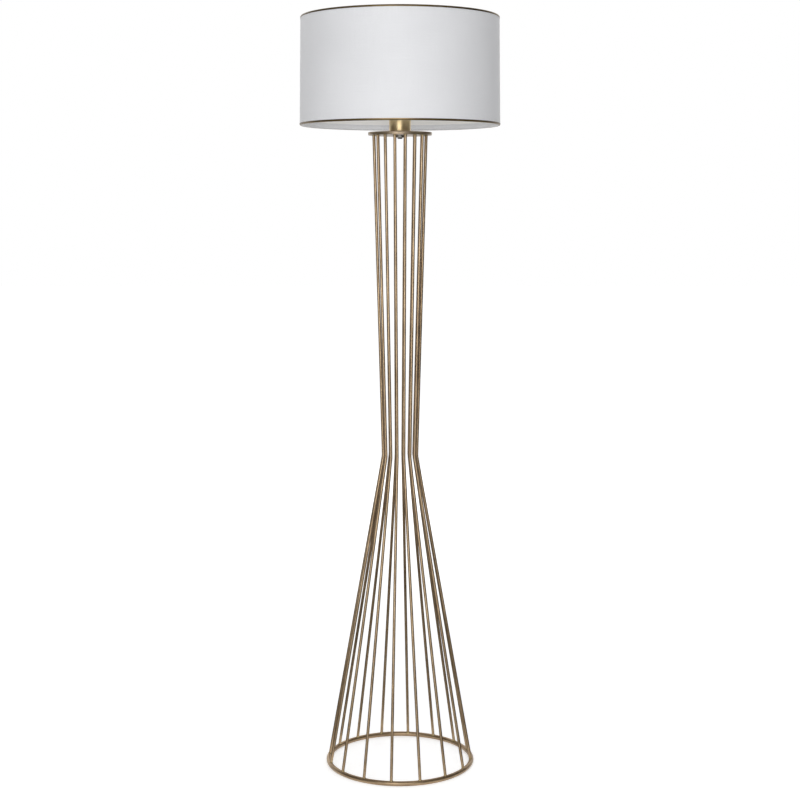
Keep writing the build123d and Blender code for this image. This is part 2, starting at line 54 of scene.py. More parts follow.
# %% [markdown]
# The camera comes first. It stands a little over three metres away, looks slightly down on the
# lamp, and its lens keeps the whole lamp in a square picture. A Track To constraint could aim it,
# but one angle says the same. There is no lens shift, so a view from any other side is centred.

# %% Camera
CAMERA_AWAY, CAMERA_UP = 3.1525, 1.1559     # metres
CAMERA_DOWN = 7.05          # degrees
CAMERA_LENS, CAMERA_SENSOR = 69.63, 36      # millimetres

camera = bpy.data.objects.new("camera", bpy.data.cameras.new("camera"))
camera.data.sensor_width = CAMERA_SENSOR
camera.data.lens = CAMERA_LENS
camera.location = (0, -CAMERA_AWAY, CAMERA_UP)
camera.rotation_euler = (radians(90 - CAMERA_DOWN), 0, 0)
scene.collection.objects.link(camera)
scene.camera = camera
scene.view_settings.view_transform = "Standard"
print("camera", CAMERA_AWAY, "m away and", CAMERA_UP, "m up")

# %% [markdown]
# A finish is a small tree of shader nodes. It could be a long list of nodes and links, but plain
# arithmetic is easier to read. So a Value wraps a socket, and +, -, * and ** on it add Math nodes.


# %% Arithmetic on sockets
class Value:
    """A socket in a finish, which can be used in plain arithmetic."""

    def __init__(self, finish, socket):
        self.finish, self.socket = finish, socket

    def maths(self, operation, *numbers):
        return self.finish.add("Math", {"operation": operation}, dict(enumerate(numbers)))

    def __add__(self, other):
        return self.maths("ADD", self, other)

    def __rsub__(self, other):
        return self.maths("SUBTRACT", other, self)

    def __mul__(self, other):
        return self.maths("MULTIPLY", self, other)

    def __pow__(self, other):
        return self.maths("POWER", self, other)

    __radd__, __rmul__ = __add__, __mul__


print("a socket's arithmetic adds Math nodes")

# %% [markdown]
# A Finish holds the tree. Every node comes from one method, add, which takes the node's type, its
# settings and what goes into its sockets. The shader editor could do the same by hand, but a
# method for each usual node keeps a finish down to a few lines.


# %% Finishes
class Finish:
    """A material, or the world, and the nodes that make it."""

    def __init__(self, name, owner=None):
        self.owner = owner or bpy.data.materials.new(name)
        self.owner.use_nodes = True
        self.tree = self.owner.node_tree
        self.tree.nodes.clear()

    def add(self, kind, settings=None, values=None, output=0):
        node = self.tree.nodes.new("ShaderNode" + kind)
        for name, setting in (settings or {}).items():
            if name == "stops":
                self.set_stops(node.color_ramp, setting)
            else:
                setattr(node, name, setting)
        for name, value in (values or {}).items():
            if isinstance(value, Value):
                self.tree.links.new(value.socket, node.inputs[name])
            else:
                node.inputs[name].default_value = value
        return None if output is None else Value(self, node.outputs[output])

    def set_stops(self, ramp, stops):
        while len(ramp.elements) < len(stops):
            ramp.elements.new(1.0)
        for element, (position, colour) in zip(ramp.elements, stops):
            element.position = position
            element.color = (*colour, 1)

    def place(self, name="Object"):
        return self.add("TexCoord", output=name)

    def stretch(self, vector, x, y, z):
        return self.add("VectorMath", {"operation": "MULTIPLY"}, {0: vector, 1: (x, y, z)})

    def cloud(self, vector, scale, detail=3.0, roughness=0.55):
        values = {"Vector": vector, "Scale": scale, "Detail": detail, "Roughness": roughness}
        return self.add("TexNoise", None, values)

    def tones(self, value, *stops):
        return self.add("ValToRGB", {"stops": stops}, {"Fac": value})

    def step(self, value, low, high):
        """0 below low, 1 above high, and a straight slope between."""
        values = {"Value": value, "From Min": low, "From Max": high}
        return self.add("MapRange", {"clamp": True}, values)

    def blend(self, share, first, second):
        """Mixes two colours. A Mix node's colour sockets are its 7th and 8th."""
        return self.add("Mix", {"data_type": "RGBA"}, {0: share, 6: first, 7: second}, output=2)

    def parts(self, vector, axis):
        return self.add("SeparateXYZ", None, {0: vector}, output=axis)

    def bump(self, height, depth, strength=1.0):
        """A normal from heights of 0 to 1, which stand for this depth in metres."""
        values = {"Height": height, "Distance": depth, "Strength": strength}
        return self.add("Bump", None, values)

    def done(self, **sockets):
        """Ends the tree in one Principled shader."""
        names = {key.replace("_", " ").title(): value for key, value in sockets.items()}
        shader = self.add("BsdfPrincipled", None, names)
        self.add("OutputMaterial", None, {"Surface": shader}, output=None)
        return self.owner


print(len(bpy.data.materials), "materials came with the frame")

# %% [markdown]
# The studio is a white sweep, as for a product photograph. White walls could be modelled, but a
# white world has no corners. The camera and reflections see it as pure white. Matt surfaces get
# less light from it, so that the lamps can shape them.

# %% White room
SKY_LEVEL = 0.41            # what the white room gives to matt surfaces


def light_path(finish):
    """1 where the camera looks, or a reflection or clear glass does."""
    rays = [finish.add("LightPath", output=f"Is {name} Ray") for name in
            ("Camera", "Glossy", "Transmission")]
    return rays[0].maths("MAXIMUM", rays[0].maths("MAXIMUM", rays[0], rays[1]), rays[2])


def white_room():
    room = Finish("room", bpy.data.worlds.new("room"))
    level = SKY_LEVEL + light_path(room) * (1 - SKY_LEVEL)
    sky = room.add("Background", None, {"Color": (1, 1, 1, 1), "Strength": level})
    room.add("OutputWorld", None, {"Surface": sky}, output=None)
    scene.world = room.owner


white_room()
print("the white room lights matt surfaces at", SKY_LEVEL)

# %% [markdown]
# The floor is pale and matt, and keeps the lamp's soft shadow. The lamps' light falls off with
# distance, so it would end in a grey line before the white world. More light would bleach the
# lamp too, so the floor glows a little instead, more so further away.

# %% Floor
FLOOR_WHITE = (0.80, 0.80, 0.80, 1)
FLOOR_SIZE = 40
FLOOR_GLOW = 0.46, 0.72     # lifts the floor to white, near the lamp and far away
GLOW_GROWS = 0.8, 5.0       # how far from the lamp it starts and stops to grow, in metres


def floor_finish():
    floor = Finish("floor")
    matt = floor.add("BsdfDiffuse", None, {"Color": FLOOR_WHITE})
    away = floor.add("VectorMath", {"operation": "LENGTH"}, {0: floor.place()}, output="Value")
    lift = FLOOR_GLOW[0] + floor.step(away, *GLOW_GROWS) * (FLOOR_GLOW[1] - FLOOR_GLOW[0])
    glow = floor.add("Emission", None, {"Strength": light_path(floor) * lift})
    both = floor.add("AddShader", None, {0: matt, 1: glow})
    floor.add("OutputMaterial", None, {"Surface": both}, output=None)
    return floor.owner


def stage_sheet(name, finish, size, centre=(0, 0, 0), faces=(0, 0, 1)):
    """A flat sheet of the studio, which isn't part of the lamp."""
    bm = bmesh.new()
    bmesh.ops.create_grid(bm, x_segments=1, y_segments=1, size=0.5)
    bmesh.ops.scale(bm, vec=(size[0], size[1], 1), verts=bm.verts)
    turn = Vector(faces).to_track_quat("Z", "Y").to_matrix().to_4x4()
    bmesh.ops.transform(bm, matrix=Matrix.Translation(centre) @ turn, verts=bm.verts)
    mesh = bpy.data.meshes.new(name)
    bm.to_mesh(mesh)
    bm.free()
    mesh.materials.append(finish)
    sheet = bpy.data.objects.new(name, mesh)
    scene.collection.objects.link(sheet)
    return sheet


stage_sheet("floor", floor_finish(), (FLOOR_SIZE, FLOOR_SIZE))
print("the floor is", FLOOR_SIZE, "m wide")

# %% [markdown]
# Metal shows what stands around it, so in an all-white room it looks flat and pale. A product
# photographer puts dark boards beside it, and they stand here too: on both sides, in front,
# overhead and on the floor. Real ones would show, and take light away, so only glossy
# reflections see these.

# %% Dark boards
BOARD_DARK, BOARD_GREY = (0.03, 0.026, 0.022, 1), (0.30, 0.29, 0.28, 1)
OVER_FLOOR = 0.004


def board_finish(colour):
    board = Finish("board")
    plain = board.add("Emission", None, {"Color": colour})
    board.add("OutputMaterial", None, {"Surface": plain}, output=None)
    return board.owner


dark, grey = board_finish(BOARD_DARK), board_finish(BOARD_GREY)
BOARDS = {                  # finish, size, centre, and the way it faces if that isn't up
    "board_left": (dark, (4.6, 3.0), (-1.7, -1.3, 1.4), (1, 0, 0)),
    "board_right": (dark, (5.0, 3.0), (1.6, -1.1, 1.4), (-1, 0, 0)),
    "board_front": (dark, (6.0, 3.4), (0, -5.0, 1.5), (0, 1, 0)),
    "board_above": (grey, (4.0, 4.0), (0, -0.5, 3.4), (0, 0, -1)),
    "board_floor_front": (dark, (2.6, 1.3), (0, -0.85, OVER_FLOOR)),
    "board_floor_back": (dark, (2.6, 1.3), (0, 0.85, OVER_FLOOR)),
    "board_floor_left": (dark, (1.1, 0.4), (-0.75, 0, OVER_FLOOR)),
    "board_floor_right": (dark, (1.1, 0.4), (0.75, 0, OVER_FLOOR)),
    "board_inside": (dark, (0.19, 0.19), (0, 0, OVER_FLOOR)),
}
for board_name, board_place in BOARDS.items():
    board = stage_sheet(board_name, *board_place)
    board.visible_camera = board.visible_diffuse = board.visible_shadow = False
    board.visible_transmission = False
print(len(BOARDS), "boards that only reflections see")

# %% [markdown]
# Three large area lamps light the object: one in front and slightly to the left, which gives the
# shade its bright band, one overhead and one behind. A sun would be simpler, but its shadows are
# hard. The last two are kept out of reflections, where they would show as squares.


# %% Soft lamps
def soft_lamp(name, place, aim, size, watts):
    light = bpy.data.lights.new(name, "AREA")
    light.shape, (light.size, light.size_y), light.energy = "RECTANGLE", size, watts
    holder = bpy.data.objects.new(name, light)
    holder.location = place
    holder.rotation_euler = (Vector(aim) - Vector(place)).to_track_quat("-Z", "Y").to_euler()
    scene.collection.objects.link(holder)
    return holder


soft_lamp("front_lamp", (-0.5, -3.5, 1.3), (0, 0, 1.2), (2.6, 2.2), 63)
soft_lamp("top_lamp", (0.2, -0.6, 4.2), (0, 0, 0.6), (2.4, 2.4), 34).visible_glossy = False
soft_lamp("back_lamp", (0.5, 3.6, 1.7), (0, 0, 1.1), (2.6, 2.2), 44).visible_glossy = False
print(len(bpy.data.lights), "soft lamps")

# %% [markdown]
# The shapes are simple ones: most of the lamp is turned, and the rest is bent wire. A turned piece
# starts as a section, a line of points (radius, height) in millimetres. outline draws one with
# rounded corners. A Bevel modifier could round the corners later, but not each by its own radius.


# %% Sections
def outline(*corners, segments=4):
    """Points of a closed section, from corners (radius, height) or (radius, height, fillet)."""
    points = []
    neighbours = zip(corners[-1:] + corners[:-1], corners, corners[1:] + corners[:1])
    for before, corner, after in neighbours:
        here = Vector((*corner[:2], 0))
        if len(corner) == 2:
            points.append(here)
            continue
        back = (Vector((*before[:2], 0)) - here).normalized()
        onward = (Vector((*after[:2], 0)) - here).normalized()
        half = back.angle(onward) / 2
        centre = here + (back + onward).normalized() * corner[2] / sin(half)
        first = here + back * corner[2] / tan(half) - centre
        last = here + onward * corner[2] / tan(half) - centre
        turns = [first.slerp(last, step / segments).normalized() for step in range(segments + 1)]
        points += [centre + turn * corner[2] for turn in turns]
    return points


def arc(centre, radius, first, last, segments):
    """Points on a circle, from one angle to another, in degrees from straight outwards."""
    angles = [radians(first + (last - first) * step / segments) for step in range(segments + 1)]
    return [(centre[0] + radius * cos(a), centre[1] + radius * sin(a)) for a in angles]


print("a rounded corner in four steps has", len(arc((0, 0), 1, 0, 90, 4)), "points")

# %% [markdown]
# Two operators make nearly all the faces. Spin turns a section round the lamp's axis, like a
# lathe, and extrude draws a loop of edges out to where a function sends it. A Screw modifier
# could do the first, but operators leave plain meshes that can be cut and joined at once.


# %% Turning and drawing out
def spun(points, steps=96, closed=True, turn=360.0, start=0.0):
    """Turns a section of (radius, height) points round the lamp's axis. Sizes in mm."""
    bm = bmesh.new()
    corners = [bm.verts.new((point[0] * MM, 0, point[1] * MM)) for point in points]
    ends = corners[1:] + corners[:1] if closed else corners[1:]
    sides = [bm.edges.new(pair) for pair in zip(corners, ends)]
    to_start = Matrix.Rotation(radians(start), 3, "Z")
    bmesh.ops.rotate(bm, verts=corners, cent=(0, 0, 0), matrix=to_start)
    bmesh.ops.spin(bm, geom=corners + sides, cent=(0, 0, 0), axis=(0, 0, 1), angle=radians(turn),
                   steps=steps, use_merge=turn == 360.0, use_duplicate=False)
    if closed and turn != 360.0:
        bmesh.ops.holes_fill(bm, edges=[edge for edge in bm.edges if edge.is_boundary])
    bmesh.ops.remove_doubles(bm, verts=bm.verts, dist=1e-7)
    bmesh.ops.recalc_face_normals(bm, faces=bm.faces)
    return bm


def sealed(bm):
    """Closes every open rim with a face, and turns all faces outwards."""
    bmesh.ops.holes_fill(bm, edges=[edge for edge in bm.edges if edge.is_boundary])
    bmesh.ops.recalc_face_normals(bm, faces=bm.faces)
    return bm


def cut(bm, height, away):
    """Cuts everything off beyond a level plane. The height is in mm, and away is 1 or -1."""
    everything = bm.verts[:] + bm.edges[:] + bm.faces[:]
    bmesh.ops.bisect_plane(bm, geom=everything, plane_co=(0, 0, height * MM),
                           plane_no=(0, 0, away), clear_outer=True)


def drawn(bm, loop, move):
    """Extrudes a loop of edges and moves each new vertex by a function of where it was."""
    made = bmesh.ops.extrude_edge_only(bm, edges=loop)["geom"]
    fresh = {item for item in made if isinstance(item, bmesh.types.BMVert)}
    for vertex in fresh:
        vertex.co = move(vertex.co.copy())
    edges = [item for item in made if isinstance(item, bmesh.types.BMEdge)]
    return [edge for edge in edges if fresh.issuperset(edge.verts)]


trial = spun([(1, 0), (2, 0), (2, 1)], 12)
print("three corners, turned in 12 steps, give", len(trial.faces), "faces")
trial.free()

# %% [markdown]
# A mesh becomes a piece of the lamp when it is shaded smooth except at its sharp edges, has a
# finish, and is tied to the body that carries it. It could be placed by its object's location,
# but then the pattern in its finish would shift, so every object stays at the origin. Sizes are
# read from the frame, with span, so that the two always agree.


# %% Pieces and their finishes
def piece(bm, name, finish, body, stands_for=(), sharp=32.0):
    """Makes a mesh object of a bmesh, smooth except at sharp edges, riding on a body."""
    for face in bm.faces:
        face.smooth = True
    for edge in bm.edges:
        edge.smooth = len(edge.link_faces) == 2 and edge.calc_face_angle(0) < radians(sharp)
    mesh = bpy.data.meshes.new(name)
    bm.to_mesh(mesh)
    bm.free()
    mesh.materials.append(finish)
    made = bpy.data.objects.new(name, mesh)
    scene.collection.objects.link(made)
    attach(made, body)
    if stands_for:
        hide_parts(*stands_for)
    return made


def span(node):
    """Largest radius, lowest and highest point of a node that is round about the axis, in mm."""
    low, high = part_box(node)
    return high.x / MM, low.z / MM, high.z / MM


def dress(finish, *names):
    """Gives nodes of the frame a finish."""
    for name in names:
        for material_slot in lamp[name].material_slots:
            material_slot.material = finish


print("the shade is", round(2 * span("shade_liner")[0]), "mm across in the frame")

# %% [markdown]
# The cage is steel with an antique brass finish: brass plating that was darkened, brushed back
# along the wires and lacquered. Brushing shows as fine streaks, the darkening as soft clouds,
# and handling as a few brighter patches. A picture of brushed metal would repeat and show seams,
# so the streaks are noise. On the wires, which stand nearly upright, it is stretched along Z. On
# the ring and the disc it is stretched round the axis, with an angle as one coordinate.

# %% Cage finish
ROUND_R = 0.15              # turns an angle into metres, as on the floor ring
ALONG, ACROSS = 22.0, 900.0     # streaks to the metre


def round_axis(finish, place):
    """The same place as distance round the lamp's axis, distance from it, and height."""
    x, y, z = (finish.parts(place, axis) for axis in range(3))
    round_it = y.maths("ARCTAN2", y, x) * ROUND_R
    return finish.add("CombineXYZ", None, {0: round_it, 1: (x * x + y * y) ** 0.5, 2: z})


def antique_brass(name, light, middle, dark, streak_depth=0.00002, turned=False):
    brass = Finish(name)
    place = brass.place()
    clouds = brass.cloud(place, 16.0, 4.0, 0.6)
    if turned:
        grain = brass.stretch(round_axis(brass, place), ALONG, ACROSS, ACROSS)
    else:
        grain = brass.stretch(place, ACROSS, ACROSS, ALONG)
    streaks = brass.cloud(grain, 1.0, 3.0, 0.65)
    flecks = brass.cloud(place, 700.0, 2.0)
    wear = clouds * 0.55 + streaks * 0.35 + flecks * 0.10
    colour = brass.tones(wear, (0.34, dark), (0.50, middle), (0.66, light))
    rough = 0.30 + streaks * 0.16 + flecks * 0.06
    normal = brass.bump(streaks * 0.7 + flecks * 0.3, streak_depth, 0.7)
    return brass.done(base_color=colour, metallic=0.92, roughness=rough, normal=normal,
                      coat_weight=0.12, coat_roughness=0.3)


CAGE_TONES = (0.62, 0.455, 0.28), (0.44, 0.318, 0.195), (0.25, 0.174, 0.102)
RING_TONES = (0.56, 0.41, 0.25), (0.38, 0.27, 0.165), (0.21, 0.146, 0.086)
WELD_TONES = (0.62, 0.49, 0.25), (0.45, 0.35, 0.17), (0.25, 0.19, 0.08)
DISC_TONES = (0.56, 0.45, 0.31), (0.34, 0.265, 0.185), (0.16, 0.125, 0.088)
cage_brass = antique_brass("cage_brass", *CAGE_TONES)
ring_brass = antique_brass("ring_brass", *RING_TONES, turned=True)
weld_brass = antique_brass("weld_brass", *WELD_TONES, streak_depth=0.00006)
disc_brass = antique_brass("disc_brass", *DISC_TONES, turned=True)
print("four brass finishes for the cage")

# %% [markdown]
# The ring is a round bar, rolled into a circle and ground level underneath. A ready-made torus
# would do, but a spun circle is no harder and keeps to the frame's size. A cut at the floor makes
# the flat that the ring stands on.

# %% Floor ring
BAR_R = 5.0
RING_R = span("base_ring")[0] - BAR_R
RING_Z = span("base_ring")[2] - BAR_R
RING_STEPS, BAR_SIDES = 256, 40


def floor_ring():
    bm = spun(arc((RING_R, RING_Z), BAR_R, 0, 360, BAR_SIDES)[:-1], RING_STEPS)
    cut(bm, 0, -1)
    under = [edge for edge in bm.edges if edge.is_boundary]
    bmesh.ops.bridge_loops(bm, edges=under)
    return bm


piece(floor_ring(), "floor_ring", ring_brass, "frame", ["base_ring"])
print("ring", round(2 * (RING_R + BAR_R)), "mm across")

# %% [markdown]
# Each wire rises from the ring to the waist, bends there, and goes on to the disc. The feet, the
# bends and the heads are turned by slightly different angles, because the real cage is welded
# with a slight twist. One wire could be copied round, but the weld beads need each wire's places
# too, so a function works them out from its number.

# %% Where the wires run
WIRE_COUNT = 16
WAIST_R, WAIST_Z = 35.0, 651.0
WIRE_TOP_R = 53.5
DISC_R, DISC_LOW, DISC_HIGH = span("top_plate")
FRONT = -90.0
RING_TURN, WAIST_TURN, DISC_TURN = -6.75, -9.3, -11.0


def around(radius, degrees, height):
    return Vector((radius * cos(radians(degrees)), radius * sin(radians(degrees)), height))


def wire_line(number):
    """A wire's foot, waist and head, in mm."""
    turn = FRONT + number * 360 / WIRE_COUNT
    return (around(RING_R, turn + RING_TURN, RING_Z), around(WAIST_R, turn + WAIST_TURN, WAIST_Z),
            around(WIRE_TOP_R, turn + DISC_TURN, DISC_LOW))


foot, waist, head = wire_line(0)
print("a wire runs", round((waist - foot).length), "mm, bends, and runs",
      round((head - waist).length), "mm on")

# %% [markdown]
# A bent wire is a circle that travels: it is extruded along the lower run, spun round the middle
# of the bend and extruded again, and then cut off level, flush with the disc. A bevelled curve
# would be quicker, but its ends can't be cut level.

# %% Cage wires
WIRE_R, WIRE_SIDES = 3.0, 24
BEND_R, BEND_STEPS = 25.0, 8


def bent_wire(number):
    foot, waist, head = wire_line(number)
    lower, upper = (waist - foot).normalized(), (head - waist).normalized()
    bend = lower.angle(upper)
    bend_start = waist - lower * BEND_R * tan(bend / 2)
    axis = lower.cross(upper).normalized()
    centre = bend_start + axis.cross(lower) * BEND_R
    bm = bmesh.new()
    stand = Matrix.Translation(foot * MM) @ lower.to_track_quat("Z", "Y").to_matrix().to_4x4()
    bmesh.ops.create_circle(bm, segments=WIRE_SIDES, radius=WIRE_R * MM, matrix=stand)
    loop = drawn(bm, bm.edges[:], lambda point: point + (bend_start - foot) * MM)
    ring = loop + list({vertex for edge in loop for vertex in edge.verts})
    last = bmesh.ops.spin(bm, geom=ring, cent=centre * MM, axis=axis, angle=bend, steps=BEND_STEPS)
    loop = [item for item in last["geom_last"] if isinstance(item, bmesh.types.BMEdge)]
    drawn(bm, loop, lambda point: point + (head - waist) * MM)
    cut(bm, DISC_LOW, 1)
    return sealed(bm)


for wire_number in range(WIRE_COUNT):
    wire_name = f"wire_{wire_number + 1:02d}"
    piece(bent_wire(wire_number), wire_name, cage_brass, "frame",
          ["cage_" + wire_name])
print(WIRE_COUNT, "wires,", 2 * WIRE_R, "mm thick")

# %% [markdown]
# A small weld bead joins every wire to the ring and to the disc, and shows as a yellowish spot.
# It could be a squashed ball, but a real bead hugs both pieces. So it is a few loops round the
# wire that flare out until they lie on the other piece: on the ring the lowest loop is a saddle,
# because the bar falls away on both sides. A little noise keeps the beads from looking turned.

# %% One weld bead
BEAD_R, BEAD_UP = 4.5, 2.6
BEAD_LEVELS, BEAD_SIDES = 5, 20
BEAD_LUMPS = 0.5
BEAD_SINK = 0.25            # the edge dips into the other piece, so that no gap shows
WIRE_OVERLAP = 0.05         # and the top starts inside the wire


def bead(bm, root, direction, surface, upwards, seed):
    """A weld round a wire. surface gives the other piece's height at an offset from the root."""
    outwards = Vector((root.x, root.y, 0)).normalized()
    sideways = Vector((-outwards.y, outwards.x, 0))

    def spot(angle, share):
        lumps = BEAD_LUMPS * noise.noise(Vector((3 * cos(angle), 3 * sin(angle), 7.0 * seed)))
        radius = WIRE_R - WIRE_OVERLAP + (BEAD_R - WIRE_R + lumps) * share ** 2
        out = radius * cos(angle)
        height = surface(out) + upwards * (BEAD_UP * (1 - share) ** 2 - BEAD_SINK * share)
        on_wire = root + direction * ((height - root.z) / direction.z)
        place = on_wire + outwards * out + sideways * radius * sin(angle)
        return Vector((place.x, place.y, height)) * MM

    def key(point):
        return tuple(round(x, 7) for x in point)

    top = bmesh.ops.create_circle(bm, segments=BEAD_SIDES, radius=1)["verts"]
    angles = {}
    for vertex in top:
        angle = atan2(vertex.co.y, vertex.co.x)
        vertex.co = spot(angle, 0)
        angles[key(vertex.co)] = angle
    loop = list({edge for vertex in top for edge in vertex.link_edges})
    for level in range(1, BEAD_LEVELS + 1):
        moved = {}

        def lower(point):
            new = spot(angles[key(point)], level / BEAD_LEVELS)
            moved[key(new)] = angles[key(point)]
            return new

        loop = drawn(bm, loop, lower)
        angles = moved


print("a bead has", BEAD_LEVELS * BEAD_SIDES, "faces round its wire")

# %% [markdown]
# The beads differ only in what they lie on. The top of the bar is an arc, and the underside of
# the disc is level. Each could be a piece, but they never part, so all of one kind are one.


# %% All the welds
def over_bar(out):
    return RING_Z + sqrt(BAR_R ** 2 - min(abs(out), BAR_R) ** 2)


def welds(at_head):
    bm = bmesh.new()
    for number in range(WIRE_COUNT):
        foot, waist, head = wire_line(number)
        if at_head:
            bead(bm, head, (head - waist).normalized(), lambda out: DISC_LOW, -1,
                 number + WIRE_COUNT)
        else:
            bead(bm, foot, (waist - foot).normalized(), over_bar, 1, number)
    return sealed(bm)


piece(welds(False), "ring_welds", weld_brass, "frame", sharp=80)
piece(welds(True), "disc_welds", weld_brass, "frame", sharp=80)
print(2 * WIRE_COUNT, "weld beads")

# %% [markdown]
# The disc is sheet steel with softened edges. Its brass tones are darker, greyer and more spread
# than the wires'. A cylinder would need a boolean for its hole and a bevel for its edges. A
# section with two small fillets, spun round the axis, has both at once.

# %% Disc
DISC_EDGE = 0.8
DISC_HOLE = 5.25
DISC_STEPS = 160

disc = spun(outline((DISC_HOLE, DISC_LOW), (DISC_R, DISC_LOW, DISC_EDGE),
                    (DISC_R, DISC_HIGH, DISC_EDGE), (DISC_HOLE, DISC_HIGH)), DISC_STEPS)
piece(disc, "disc", disc_brass, "frame", ["top_plate"])
print("disc", round(2 * DISC_R), "mm across and", round(DISC_HIGH - DISC_LOW, 1), "mm thick")

# %% [markdown]
# The neck cup is a drawn brass cup that hides the lampholder. It was polished on a lathe, so its
# brush lines run round it, and a highlight runs up and down across them. The shader's own
# anisotropy could stretch the highlight, but it shows no lines close up. Noise that is squeezed
# along Z gives both. The brass is lighter and yellower than the cage's finish.

# %% Neck cup
CUP_WALL = 0.8
CUP_FOOT, CUP_LIP, CUP_INSIDE = 1.2, 0.3, 0.4     # fillets
CUP_STEPS = 128
CUP_TONES = (0.66, 0.50, 0.27), (0.90, 0.74, 0.46)


def turned_brass():
    brass = Finish("turned_brass")
    place = brass.place()
    lines = brass.cloud(brass.stretch(place, 30.0, 30.0, 5200.0), 1.0, 2.0, 0.7)
    clouds = brass.cloud(place, 45.0, 3.0)
    colour = brass.tones(lines * 0.5 + clouds * 0.5, (0.35, CUP_TONES[0]), (0.65, CUP_TONES[1]))
    normal = brass.bump(lines, 0.00001, 0.8)
    return brass.done(base_color=colour, metallic=1.0, roughness=0.28 + lines * 0.14,
                      normal=normal)


CUP_R, CUP_LOW, CUP_HIGH = span("neck_cup")
inner_r, inner_low = CUP_R - CUP_WALL, CUP_LOW + CUP_WALL
cup = spun(outline((DISC_HOLE, CUP_LOW), (CUP_R, CUP_LOW, CUP_FOOT), (CUP_R, CUP_HIGH, CUP_LIP),
                   (inner_r, CUP_HIGH, CUP_LIP), (inner_r, inner_low, CUP_INSIDE),
                   (DISC_HOLE, inner_low)), CUP_STEPS)
piece(cup, "brass_cup", turned_brass(), "frame", ["neck_cup"])
print("cup", round(2 * CUP_R, 1), "mm across and", round(CUP_HIGH - CUP_LOW, 1), "mm high")

# %% [markdown]
# Cloth comes next. The shade is one strip of woven white cloth, glued to a stiff liner, with both
# edges rolled in round a wire ring. All its pieces share a few sizes: where the two wires lie,
# how far the drum narrows upwards, and how large the rolled edge is. They could be typed in, but
# read from the frame they can't drift away from it.

# %% Shade sizes
CLOTH_T, LINER_T = 0.5, 0.5
SHADE_WIRE_R = 1.5
UNDER_CLOTH = CLOTH_T + LINER_T
ROLL_R = (UNDER_CLOTH + 2 * SHADE_WIRE_R + CLOTH_T) / 2
LINER_R, LOW_WIRE_Z, HIGH_WIRE_Z = span("shade_liner")
SHADE_R = LINER_R + CLOTH_T
TOP_WIRE_R = span("shade_top_wire")[0] - SHADE_WIRE_R
SHADE_NARROWS = SHADE_R - ROLL_R - TOP_WIRE_R - UNDER_CLOTH / 2 + CLOTH_T / 2
SHADE_STEPS = 288           # a column of faces stands in front of each arm


def wall_r(height):
    """Outside radius of the cloth at a height: the drum widens slightly downwards."""
    return SHADE_R - SHADE_NARROWS * (height - LOW_WIRE_Z) / (HIGH_WIRE_Z - LOW_WIRE_Z)


print("shade", round(2 * SHADE_R), "mm across below,", round(2 * wall_r(HIGH_WIRE_Z)), "mm above")

# %% [markdown]
# A plain weave is two sets of threads that pass over and under each other. Modelled threads would
# need millions of faces. Seen close up, a weave is a chequer of small humps, so the finish
# multiplies waves across the cloth and along it. The waves need even coordinates on the drum, so
# the mesh gets a UV map in metres: how far round, and how high. Thicker and thinner threads come
# from noise that is stretched each way. Where the humps and threads sink, the cloth takes a darker
# tone: painted shade in the weave's hollows. A soft drift of tone on top is the cloth's own. The
# yarn is slightly satiny, which gives the drum a soft bright band where it faces the light.

# %% Cloth finish and its map
THREAD = 0.00062            # from one thread to the second next
WEAVE_DEPTH = 0.00012
SLUBS, SLUB_LENGTHS = 1400.0, 14.0      # uneven threads to the metre, and their lengths


def map_round(bm, radius):
    """A UV map in metres: distance round the axis, and height."""
    layer = bm.loops.layers.uv.new("cloth")
    for face in bm.faces:
        middle = face.calc_center_median()
        heading = Matrix.Rotation(-atan2(middle.y, middle.x), 3, "Z")
        for corner in face.loops:
            beside = heading @ corner.vert.co
            angle = atan2(middle.y, middle.x) + atan2(beside.y, beside.x)
            corner[layer].uv = (angle * radius * MM, corner.vert.co.z)


def woven_cloth(name, colour, shade):
    cloth = Finish(name)
    flat = cloth.add("UVMap", {"uv_map": "cloth"})
    across, up = cloth.parts(flat, 0), cloth.parts(flat, 1)
    slubs_up = cloth.cloud(cloth.stretch(flat, SLUBS, SLUB_LENGTHS, 1.0), 1.0, 2.0)
    slubs_across = cloth.cloud(cloth.stretch(flat, SLUB_LENGTHS, SLUBS, 1.0), 1.0, 2.0)
    warp = across.maths("SINE", across * (2 * pi / THREAD))
    weft = up.maths("SINE", up * (2 * pi / THREAD))
    humps = warp * weft * 0.5 + 0.5
    threads = humps * 0.5 + slubs_up * 0.25 + slubs_across * 0.25
    soft = cloth.cloud(cloth.place(), 5.0, 2.0)
    # The darker tone goes where the weave sinks: painted shade in its hollows. The soft drift is
    # the cloth's own tone.
    tone = cloth.tones(threads * 0.7 + soft * 0.3, (0.25, shade), (0.6, colour))
    normal = cloth.bump(threads, WEAVE_DEPTH, 0.6)
    return cloth.done(base_color=tone, roughness=0.44 + threads * 0.14, normal=normal,
                      sheen_weight=0.25, sheen_roughness=0.5)


# The second colour is the painted shade in the weave's hollows.
shade_white = woven_cloth("shade_white", (0.80, 0.805, 0.825), (0.63, 0.635, 0.655))
print("the weave has", round(2 / THREAD / 100), "threads to the centimetre")

# %% [markdown]
# Because the strip is stretched, it needs no cloth simulation: its section says it all. The open
# line starts at the hem inside, goes round the lower wire, up the wall, round the upper wire and
# down to the upper hem.

# %% Section of the cloth
HEM, HEM_STAND, HEM_TUCK = 9.0, 0.8, 4.2    # its width, and where it leaves the wire and lies flat
ROLL_STEPS = 12


def roll(wire_z, up, radius, first, last, segments):
    """Part of a rolled edge's section: 0 degrees is on the wall, 90 at the very edge."""
    centre = (wall_r(wire_z) - ROLL_R, wire_z)
    return arc(centre, radius, -up * first, -up * last, segments)


